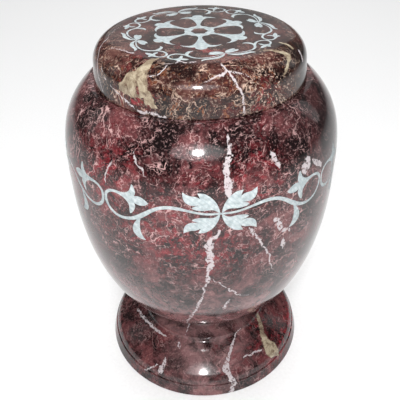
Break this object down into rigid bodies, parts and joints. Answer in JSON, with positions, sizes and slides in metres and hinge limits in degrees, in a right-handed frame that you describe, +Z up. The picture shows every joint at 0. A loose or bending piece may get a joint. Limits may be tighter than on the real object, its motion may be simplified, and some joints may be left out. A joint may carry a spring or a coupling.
{
  "type": "cremation urn",
  "caption": "Round-bellied red marble cremation urn on a moulded foot, with a flat lift-off lid, engraved with white scrollwork.",
  "frame": {"origin": "centre of the flat underside, on the plane the urn stands on", "axes": "+Z up the axis of turning, towards the lid; -Y towards the pictured front"},
  "size_m": [0.201, 0.201, 0.285],
  "materials": {
    "body_marble": "polished dark red marble, pale veins",
    "lid_marble": "polished dark red marble, cream veins"
  },
  "bodies": {
    "root": {"urn_body": "body_marble", "lid": "lid_marble"}
  },
  "joints": []
}
